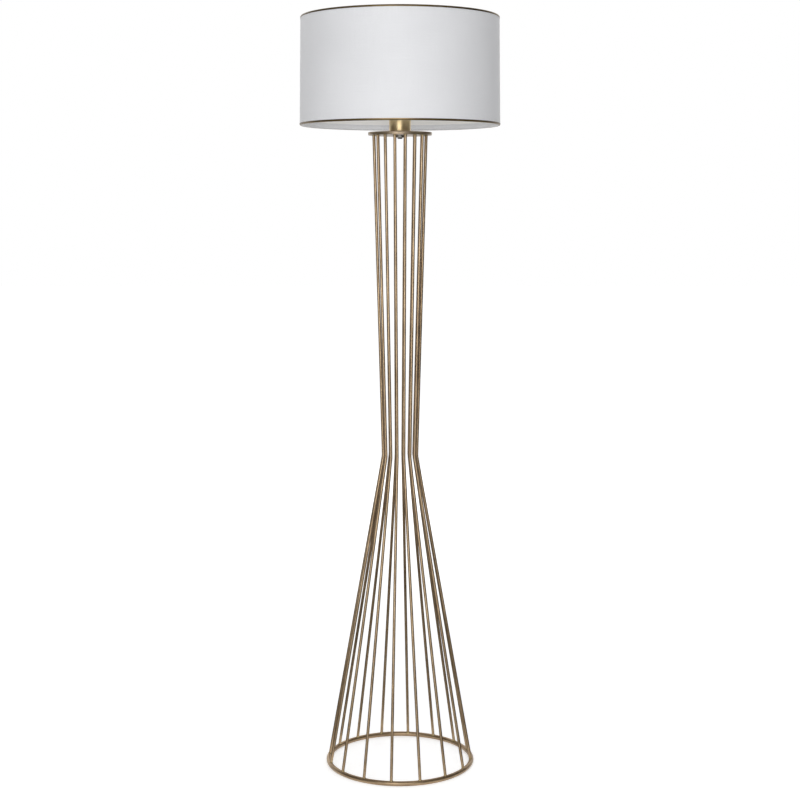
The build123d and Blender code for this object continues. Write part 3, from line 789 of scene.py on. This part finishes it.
def hem(wire_z, up):
    """The turned-in cloth, from its cut edge to where it leaves the wire."""
    def face(rise):
        return wall_r(wire_z + up * rise) - UNDER_CLOTH - CLOTH_T, wire_z + up * rise
    inner = wall_r(wire_z) - 2 * ROLL_R
    return [face(HEM), face((HEM + HEM_TUCK) / 2), face(HEM_TUCK), (inner, wire_z + up * HEM_STAND)]


def drum_section():
    lower = hem(LOW_WIRE_Z, 1) + roll(LOW_WIRE_Z, 1, ROLL_R, 180, 0, ROLL_STEPS)
    heights = [LOW_WIRE_Z + (HIGH_WIRE_Z - LOW_WIRE_Z) * step / 8 for step in range(1, 8)]
    upper = roll(HIGH_WIRE_Z, -1, ROLL_R, 0, 180, ROLL_STEPS) + hem(HIGH_WIRE_Z, -1)[::-1]
    return lower + [(wall_r(z), z) for z in heights] + upper


print("the cloth's section has", len(drum_section()), "points")

# %% [markdown]
# One spin makes the drum. Where the three arms of the fitter reach the lower wire, the maker slits
# the turned-in cloth, and here one column of faces goes. A Solidify modifier then gives the cloth
# its thickness. Drawing both faces of the cloth by hand would double the work at every slit.

# %% Shade cloth
ARMS = (90.0, 210.0, 330.0)


def slit_at_arms(bm):
    """Opens the turned-in cloth where an arm passes, one column of faces wide."""
    reach = 0.5 * 360 / SHADE_STEPS
    doomed = []
    for face in bm.faces:
        middle = face.calc_center_median() / MM
        inside = middle.xy.length < wall_r(LOW_WIRE_Z) - ROLL_R
        if inside and LOW_WIRE_Z - SHADE_WIRE_R < middle.z < LOW_WIRE_Z + HEM:
            angle = atan2(middle.y, middle.x) * 180 / pi
            if any(abs((angle - arm + 180) % 360 - 180) < reach / 2 for arm in ARMS):
                doomed.append(face)
    bmesh.ops.delete(bm, geom=doomed, context="FACES")


cloth_mesh = spun(drum_section(), SHADE_STEPS, closed=False, start=180 / SHADE_STEPS)
slit_at_arms(cloth_mesh)
map_round(cloth_mesh, SHADE_R)
shade_cloth = piece(cloth_mesh, "shade_cloth", shade_white, "shade",
                    ["shade_cover"], sharp=60)
thickness = shade_cloth.modifiers.new("thickness", "SOLIDIFY")
thickness.thickness = CLOTH_T * MM
thickness.offset = -1
print("cloth", CLOTH_T, "mm thick, slit at", len(ARMS), "arms")

# %% [markdown]
# A strip of cloth has to end somewhere. At the back, the drum has its one upright seam, where
# one end of the cloth is folded under and glued over the other. A line in the bump would vanish
# from the side, so a narrow curved strip, spun through a small angle, shows as that fold.
# Inside, the liner has a taped joint in the same place.

# %% Seam
SEAM_WIDTH, SEAM_T = 12.0, 0.45
SEAM_SHORT = 0.9            # the fold ends this far from both wires
BACK = 90.0


def upright_strip(outer, inner, width, low, high):
    """A curved strip at the back of the shade, between two depths from the cloth's face."""
    corners = outline((wall_r(low) + outer, low, 0.1), (wall_r(high) + outer, high, 0.1),
                      (wall_r(high) + inner, high), (wall_r(low) + inner, low), segments=2)
    angle = width / SHADE_R * 180 / pi
    return spun(corners, 8, turn=angle, start=BACK - angle / 2)


seam_mesh = upright_strip(SEAM_T, -0.1, SEAM_WIDTH, LOW_WIRE_Z + SEAM_SHORT,
                          HIGH_WIRE_Z - SEAM_SHORT)
map_round(seam_mesh, SHADE_R)
seam = piece(seam_mesh, "shade_seam", shade_white, "shade")
print("seam", SEAM_WIDTH, "mm wide at the back")

# %% [markdown]
# The liner is a stiff white plastic film. It is smooth, a little shiny, and the cloth's weave
# shows in it faintly, because the two are pressed together. It could be the inner face of the
# cloth, but it has another surface, so it is a piece of its own. Its white is bright and slightly
# warm: partly the film's own colour, partly painted light that stands for the light coming through
# the cloth. Its finish is one that the lamp's paint and moulded plastic share: a shallow skin, and
# a tone that drifts a little.

# %% Liner
TAPE_T, TAPE_SINK = 0.15, 0.02
TAPE_SHORT = HEM + 1.0      # the tape ends just short of both hems


def smooth(name, dark, light, skin, drift, rough, uneven=0.12, **more):
    """A plain finish. skin is how fine and how deep its bumps are, drift how fine its tones."""
    plain = Finish(name)
    place = plain.place()
    bumps = plain.cloud(place, skin[0], 2.0)
    tone = plain.tones(plain.cloud(place, drift, 2.0), (0.3, dark), (0.7, light))
    return plain.done(base_color=tone, roughness=rough + bumps * uneven,
                      normal=plain.bump(bumps, skin[1], 0.5), **more)


# A bright, warm white: partly the film's own colour, partly painted light coming through the cloth.
film_white_lit_through = smooth("liner_film", (0.88, 0.865, 0.835), (0.92, 0.91, 0.885), (900.0, 0.00003),
                    7.0, 0.42, 0.1)
liner_corners = ((UNDER_CLOTH, LOW_WIRE_Z), (CLOTH_T, LOW_WIRE_Z), (CLOTH_T, HIGH_WIRE_Z),
                 (UNDER_CLOTH, HIGH_WIRE_Z))
liner = spun([(wall_r(z) - depth, z) for depth, z in liner_corners], SHADE_STEPS)
piece(liner, "shade_lining", film_white_lit_through, "shade", ["shade_liner"])
tape = upright_strip(-UNDER_CLOTH + TAPE_SINK, -UNDER_CLOTH - TAPE_T, SEAM_WIDTH,
                     LOW_WIRE_Z + TAPE_SHORT, HIGH_WIRE_Z - TAPE_SHORT)
piece(tape, "liner_tape", film_white_lit_through, "shade")
print("liner", round(HIGH_WIRE_Z - LOW_WIRE_Z), "mm high")

# %% [markdown]
# Gold ribbon covers both edges. It is woven from metallised yarn, so it has fine cross ribs and
# a soft metallic lustre. A stripe of gold paint on the cloth would look the same from afar, but
# the edge of a ribbon stands up from the cloth and casts a fine shadow. Its section follows the
# rolled edge, and its free edge on the wall is slightly thicker, as a selvedge is.

# %% Gold ribbon
RIB = 0.0008                # from one cross rib to the next
GOLD_DARK, GOLD, GOLD_LIGHT = (0.08, 0.053, 0.024), (0.19, 0.134, 0.064), (0.38, 0.28, 0.15)


def ribbon_finish():
    gold = Finish("gold_ribbon")
    flat = gold.add("UVMap", {"uv_map": "cloth"})
    across = gold.parts(flat, 0)
    ribs = across.maths("SINE", across * (2 * pi / RIB)) * 0.5 + 0.5
    flecks = gold.cloud(gold.stretch(flat, 700.0, 2600.0, 1.0), 1.0, 2.0)
    worn = gold.cloud(gold.place(), 12.0, 3.0)
    # The ribs' hollows come out a little darker: painted shade. The flecks of yarn and the worn
    # patches are the ribbon's own.
    mixed = ribs * 0.15 + flecks * 0.45 + worn * 0.4
    tone = gold.tones(mixed, (0.3, GOLD_DARK), (0.5, GOLD), (0.75, GOLD_LIGHT))
    return gold.done(base_color=tone, metallic=0.85, roughness=0.3 + flecks * 0.15,
                     normal=gold.bump(ribs * 0.6 + flecks * 0.4, 0.00004, 0.6))


ribbon_gold = ribbon_finish()
print("ribbon with", round(0.01 / RIB, 1), "ribs to the centimetre")

# %% [markdown]
# The ribbon goes a little up the wall, and round the wire for somewhat more than a quarter turn.
# Solidify could give it its thickness too, but a closed section allows the thicker free edge. Last
# comes the size the cloth was cut to before it was rolled in.

# %% Both edges and the cut size
TRIM_T, TRIM_UP, TRIM_WRAP = 0.4, 1.3, 105.0
TRIM_STEPS = 8
TRIM_LIFT = 0.01            # keeps the ribbon's back off the cloth
SELVEDGE, SELVEDGE_UP = 0.12, (0.35, 0.2)   # thickness, and where it begins and is full


def ribbon(wire_z, up):
    rises = (0, TRIM_UP - SELVEDGE_UP[0], TRIM_UP - SELVEDGE_UP[1], TRIM_UP)
    ends = [wire_z + up * rise for rise in rises]
    stand = (TRIM_T, TRIM_T, TRIM_T + SELVEDGE, TRIM_T + SELVEDGE / 2)
    outside = [(wall_r(z) + rise, z) for z, rise in zip(ends, stand)][:0:-1]
    outside += roll(wire_z, up, ROLL_R + TRIM_T, 0, TRIM_WRAP, TRIM_STEPS)
    inside = roll(wire_z, up, ROLL_R + TRIM_LIFT, TRIM_WRAP, 0, TRIM_STEPS)
    inside.append((wall_r(ends[-1]) + TRIM_LIFT, ends[-1]))
    bm = spun(outside + inside, SHADE_STEPS)
    map_round(bm, SHADE_R)
    return bm


low_ribbon = piece(ribbon(LOW_WIRE_Z, 1), "low_ribbon", ribbon_gold, "shade",
                   ["shade_bottom_trim"])
high_ribbon = piece(ribbon(HIGH_WIRE_Z, -1), "high_ribbon", ribbon_gold, "shade",
                    ["shade_top_trim"])

STRIP_LENGTH = 2 * pi * SHADE_R + SEAM_WIDTH
STRIP_HEIGHT = HIGH_WIRE_Z - LOW_WIRE_Z + pi * ROLL_R + 2 * HEM
STRIP_LENGTH * MM
STRIP_HEIGHT * MM
print("the cloth was cut to", round(STRIP_LENGTH), "by", round(STRIP_HEIGHT), "mm")

# %% [markdown]
# Inside the shade, the fitter and both wire rings are steel with white stove enamel. The frame's
# own meshes are right for them, so they only need a finish. Paint on wire is glossy, with a
# slightly uneven skin, which a clear coat over a fine bump shows better than plain gloss.

# %% White enamel
ENAMELLED = "shade_fitter", "shade_top_wire", "shade_bottom_wire"
enamel = smooth("white_enamel", (0.76, 0.76, 0.74), (0.84, 0.84, 0.82), (420.0, 0.00006), 20.0,
                0.28, coat_weight=0.3)
dress(enamel, *ENAMELLED)
print("enamel on", ", ".join(ENAMELLED))

# %% [markdown]
# The lampholder's upper half, the bulb's cap and the tube through the disc have screw threads. A
# thread isn't a stack of rings but one helix: the section of a single turn is spun and lifted at
# the same time, so that each turn lands on the one before. A Screw modifier does this too, but
# leaves both ends slanted. Here two level cuts end it. From the upper cut, the metal or plastic
# is drawn on through a list of corners, back down inside, and joined to the lower cut. The helix
# is made at the origin and lifted last, because far from it rounding would part the turns.

# %% Threads
SAME_PLACE = 5e-6           # metres: vertices of two turns that are nearer than this are one


def threaded(root_r, crest_r, pitch, low, high, way, steps=64, flanks=8):
    """A shell with a rounded screw thread outside. way lists its other corners, in mm."""
    bm = bmesh.new()
    turns = ceil((high - low) / pitch + 2)
    depth = crest_r - root_r
    swell = [root_r + depth * (1 - cos(2 * pi * k / flanks)) / 2 for k in range(flanks + 1)]
    flank = [bm.verts.new((radius * MM, 0, pitch * (k / flanks - 1.5) * MM))
             for k, radius in enumerate(swell)]
    sides = [bm.edges.new(pair) for pair in zip(flank, flank[1:])]
    bmesh.ops.spin(bm, geom=flank + sides, cent=(0, 0, 0), axis=(0, 0, 1),
                   dvec=(0, 0, pitch * MM / steps), angle=2 * pi * turns, steps=steps * turns)
    bmesh.ops.remove_doubles(bm, verts=bm.verts, dist=SAME_PLACE)
    cut(bm, 0, -1)
    cut(bm, high - low, 1)
    bmesh.ops.remove_doubles(bm, verts=bm.verts, dist=SAME_PLACE)
    rims = [[edge for edge in bm.edges if edge.is_boundary
             and all(abs(vertex.co.z - height * MM) < 2 * SAME_PLACE for vertex in edge.verts)]
            for height in (0, high - low)]
    loop = rims[1]
    for radius, height in way:
        loop = drawn(bm, loop, lambda point: point.xy.normalized().to_3d() * radius * MM
                     + Vector((0, 0, (height - low) * MM)))
    bmesh.ops.bridge_loops(bm, edges=loop + rims[0])
    bmesh.ops.recalc_face_normals(bm, faces=bm.faces)
    bmesh.ops.translate(bm, verts=bm.verts, vec=(0, 0, low * MM))
    return bm


trial = threaded(9, 10, 2, 0, 6, [(8, 6), (8, 0)])
print("three turns of thread have", len(trial.faces), "faces")
trial.free()

# %% [markdown]
# The lampholder is moulded white plastic, a little yellowed by heat, with the fine grain of a
# spark-eroded mould. Perfectly smooth plastic looks like paint, so a very shallow bump and some
# unevenness in the gloss stand for that grain. The upper half has a coarse thread outside, for
# the ring nut that clamps the shade.


# %% Lampholder
def moulded(name, light, dark, rough=0.38):
    return smooth(name, dark, light, (1500.0, 0.00004), 30.0, rough)


HOLDER_R, HOLDER_LOW, HOLDER_HIGH = span("holder_skirt")
RIDGE_PITCH, RIDGE_DEPTH, RIDGES_HIGH = 2.5, 0.5, 17.5
RIM_HIGH, RIM_SLOPE = 0.6, 0.5
LIP_R, LIP_T, LIP_EDGE, HOLDER_BORE = 14.4, 2.0, 0.3, 17.35
holder_white = moulded("holder_white", (0.83, 0.82, 0.78), (0.74, 0.73, 0.68))
root_r = HOLDER_R - RIDGE_DEPTH
ridges = HOLDER_HIGH - RIDGES_HIGH, HOLDER_HIGH - RIM_HIGH
skirt = threaded(root_r, HOLDER_R, RIDGE_PITCH, *ridges, [
    (root_r - RIM_SLOPE, HOLDER_HIGH), (LIP_R + LIP_EDGE, HOLDER_HIGH),
    (LIP_R, HOLDER_HIGH - LIP_EDGE), (LIP_R, HOLDER_HIGH - LIP_T),
    (HOLDER_BORE, HOLDER_HIGH - LIP_T), (HOLDER_BORE, HOLDER_LOW), (root_r, HOLDER_LOW)])
piece(skirt, "holder_top", holder_white, "frame", ["holder_skirt"])
dress(holder_white, "holder_base", "shade_ring_nut")
print("lampholder", round(2 * HOLDER_R), "mm across, open", round(2 * LIP_R, 1), "mm for the bulb")

# %% [markdown]
# The bulb has a nickel-plated cap, a black glass insulator and a solder contact. The cap is thin
# sheet, rolled into its thread, so the same helper makes it, with thin walls. Nickel is shinier
# than steel, and its handling marks are spots rather than streaks.

# %% Bulb cap
CAP_R, CAP_ROOT, CAP_WALL, CAP_PITCH = 13.1, 12.25, 0.3, 3.629
CAP_FOOT_R, CAP_FOOT_HIGH = 11.3, 1.4
CAP_SHOULDER = 1.9, 1.5, 0.9            # under the top: end of the thread, narrow, full width
CAP_LOW, CAP_HIGH = span("bulb_cap")[1:]


def plated():
    nickel = Finish("nickel_plate")
    place = nickel.place()
    lines = nickel.cloud(nickel.stretch(place, 60.0, 60.0, 3200.0), 1.0, 2.0)
    spots = nickel.cloud(place, 260.0, 3.0)
    tone = nickel.tones(spots, (0.35, (0.52, 0.51, 0.48)), (0.6, (0.70, 0.69, 0.66)))
    return nickel.done(base_color=tone, metallic=1.0, roughness=0.2 + lines * 0.12 + spots * 0.1,
                       normal=nickel.bump(lines, 0.00001, 0.6))


cap_nickel = plated()
thread_end, narrow, full = [CAP_HIGH - down for down in CAP_SHOULDER]
inside_r = CAP_ROOT - CAP_WALL
cap = threaded(CAP_ROOT, CAP_R, CAP_PITCH, CAP_LOW + CAP_FOOT_HIGH, thread_end, [
    (CAP_ROOT, narrow), (CAP_R, full), (CAP_R, CAP_HIGH), (inside_r, CAP_HIGH),
    (inside_r, CAP_LOW + CAP_FOOT_HIGH), (CAP_FOOT_R - CAP_WALL, CAP_LOW), (CAP_FOOT_R, CAP_LOW)])
piece(cap, "bulb_screw_cap", cap_nickel, "bulb", ["bulb_cap"], sharp=50)
dress(cap_nickel, "bulb_contact")
print("cap", 2 * CAP_R, "mm across, with", round((thread_end - CAP_LOW) / CAP_PITCH, 1), "turns")

# %% [markdown]
# Above the cap are a white housing and an opal dome. The housing's side is a soft S-curve. It
# could be drawn with arcs, but a Bezier with four handles is smooth by itself. The dome is one
# arc. A shallow groove marks the seam between the two, which a single mesh wouldn't show.

# %% Bulb housing and dome
BULB_WALL = 1.5
DOME_R = 30.0
SEAM_R, HOUSING_LOW, HOUSING_HIGH = span("bulb_housing")
NECK_R = 13.6
NECK_RISE = 14.0            # how far the side keeps to the neck before it flares
FLARE_IN, FLARE_DOWN = 5.2, 12.8
DOME_HIGH = span("bulb_globe")[2]
GROOVE, GROOVE_HIGH = 0.25, 0.6
BULB_STEPS, DOME_ARC_STEPS = 96, 28


def housing():
    def side(inset):
        knots = [(NECK_R, HOUSING_LOW), (NECK_R, HOUSING_LOW + NECK_RISE),
                 (SEAM_R - FLARE_IN, HOUSING_HIGH - FLARE_DOWN), (SEAM_R, HOUSING_HIGH)]
        return [(p.x - inset, p.y) for p in interpolate_bezier(*[Vector(k) for k in knots], 20)]
    outer = side(0)
    groove_r = SEAM_R - GROOVE
    outer[-1:] = [(SEAM_R, HOUSING_HIGH - GROOVE_HIGH),
                  (groove_r, HOUSING_HIGH - GROOVE_HIGH / 2), (groove_r, HOUSING_HIGH)]
    return spun(outer + side(BULB_WALL)[::-1], BULB_STEPS)


housing_white = moulded("housing_white", (0.86, 0.86, 0.85), (0.80, 0.80, 0.785), 0.3)
piece(housing(), "bulb_body", housing_white, "bulb", ["bulb_housing"])


def opal():
    glass = Finish("opal")
    place = glass.place()
    milky = glass.cloud(place, 60.0, 3.0)
    tone = glass.tones(milky, (0.3, (0.86, 0.855, 0.83)), (0.7, (0.90, 0.895, 0.88)))
    return glass.done(base_color=tone, roughness=0.34 + milky * 0.08, coat_weight=0.15)


def dome():
    """Inside from the pole down, and outside back up to the pole."""
    centre = (0, DOME_HIGH - DOME_R)
    low_angle = atan2(HOUSING_HIGH - centre[1], SEAM_R) * 180 / pi
    inner = arc(centre, DOME_R - BULB_WALL, 90, low_angle, DOME_ARC_STEPS)
    outer = arc(centre, DOME_R, low_angle, 90, DOME_ARC_STEPS)
    return spun(inner + outer, BULB_STEPS, closed=False)


piece(dome(), "bulb_dome", opal(), "bulb", ["bulb_globe"])
print("bulb", round(DOME_HIGH - span("bulb_contact")[1]), "mm long")

# %% [markdown]
# The rest stays hidden in the finished lamp, but it is there when the lamp is taken apart, so it
# is finished too. Each of the bulb's two circuit boards is a single node with its parts on it, so
# one finish has to tell them apart. It could be split into pieces, but the place on the board
# already says what is what: the coil is behind, the capacitor in front, the chips on top.

# %% Circuit boards
BOARD_FACE = 0.0008         # half the driver board's thickness, and how high a chip stands
BLUR = 0.0001               # where one colour gives way to the next


def driver_finish():
    """Green board, a dark coil on one side and a black capacitor on the other."""
    board = Finish("driver_board")
    place = board.place()
    sideways = board.parts(place, 1)
    fleck = board.cloud(place, 700.0, 2.0)
    green = board.tones(fleck, (0.35, (0.03, 0.14, 0.06)), (0.7, (0.06, 0.24, 0.11)))
    copper = board.tones(fleck, (0.35, (0.30, 0.13, 0.05)), (0.7, (0.52, 0.26, 0.11)))
    edge = BOARD_FACE, BOARD_FACE + BLUR
    tone = board.blend(board.step(sideways, *edge), green, copper)
    tone = board.blend(1 - board.step(sideways, -edge[1], -edge[0]), tone, (0.02, 0.02, 0.03, 1))
    return board.done(base_color=tone, roughness=0.35 + fleck * 0.2)


def light_board_finish():
    """White board with yellow chips, which stand over its face."""
    board = Finish("light_board")
    place = board.place()
    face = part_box("bulb_led_board")[1].z - BOARD_FACE
    chips = board.step(board.parts(place, 2), face, face + 2 * BLUR)
    fleck = board.cloud(place, 500.0, 2.0)
    white = board.tones(fleck, (0.3, (0.70, 0.70, 0.68)), (0.7, (0.82, 0.82, 0.80)))
    tone = board.blend(chips, white, (0.85, 0.62, 0.12, 1))
    return board.done(base_color=tone, roughness=0.4 + fleck * 0.2)


dress(driver_finish(), "bulb_driver")
dress(light_board_finish(), "bulb_led_board")
print("both circuit boards are finished")

# %% [markdown]
# Contacts and terminals are brass sheet, the nut, the washer and the screws are zinc-plated
# steel, and the block, the bush and the insulator are moulded. Ready-made metals would all shine
# alike, so one recipe with a little grain and a few stains makes each its own finish.


# %% Contacts, screws and moulded parts
def sheet_metal(name, dark, light, rough):
    metal = Finish(name)
    place = metal.place()
    grain = metal.cloud(metal.stretch(place, 90.0, 900.0, 900.0), 1.0, 3.0)
    stains = metal.cloud(place, 120.0, 3.0)
    tone = metal.tones(grain * 0.4 + stains * 0.6, (0.35, dark), (0.65, light))
    return metal.done(base_color=tone, metallic=1.0, roughness=rough + grain * 0.15,
                      normal=metal.bump(grain, 0.00002, 0.5))


dress(sheet_metal("contact_brass", (0.48, 0.34, 0.15), (0.74, 0.57, 0.30), 0.25),
      "centre_contact", "holder_rivets", "holder_terminals", "screw_sleeve")
zinc = sheet_metal("zinc_steel", (0.24, 0.235, 0.22), (0.46, 0.45, 0.42), 0.38)
dress(zinc, "lock_nut", "lock_washer", "grub_screw", "terminal_screws")
dress(moulded("bush_black", (0.035, 0.035, 0.037), (0.02, 0.02, 0.021), 0.5), "cord_bush")
dress(moulded("block_cream", (0.80, 0.78, 0.71), (0.68, 0.66, 0.59), 0.55), "holder_block")
insulator_black = moulded("insulator_black", (0.03, 0.03, 0.035), (0.012, 0.012, 0.015), 0.12)
dress(insulator_black, "bulb_insulator")
print(len(bpy.data.materials), "materials with the hidden parts'")

# %% [markdown]
# The tube through the disc has a fine thread along its whole length, one turn a millimetre. A
# bump could show so fine a thread, but the tube's lower end is in plain view under the disc. So
# it is the same helix as before, in fewer steps, with plain ends where the thread was faced off.

# %% Threaded tube
TUBE_R, TUBE_LOW, TUBE_HIGH = span("threaded_tube")
TUBE_PITCH, TUBE_END = 1.0, 0.5
TUBE_ROOT, TUBE_BORE = TUBE_R - 0.55, TUBE_R - 1.0
tube = threaded(TUBE_ROOT, TUBE_R, TUBE_PITCH, TUBE_LOW + TUBE_END, TUBE_HIGH - TUBE_END, [
    (TUBE_ROOT, TUBE_HIGH), (TUBE_BORE, TUBE_HIGH), (TUBE_BORE, TUBE_LOW), (TUBE_ROOT, TUBE_LOW)],
    steps=40, flanks=4)
piece(tube, "cord_tube", zinc, "frame", ["threaded_tube"], sharp=50)
print("tube with", round((TUBE_HIGH - TUBE_LOW - 2 * TUBE_END) / TUBE_PITCH), "turns of thread")
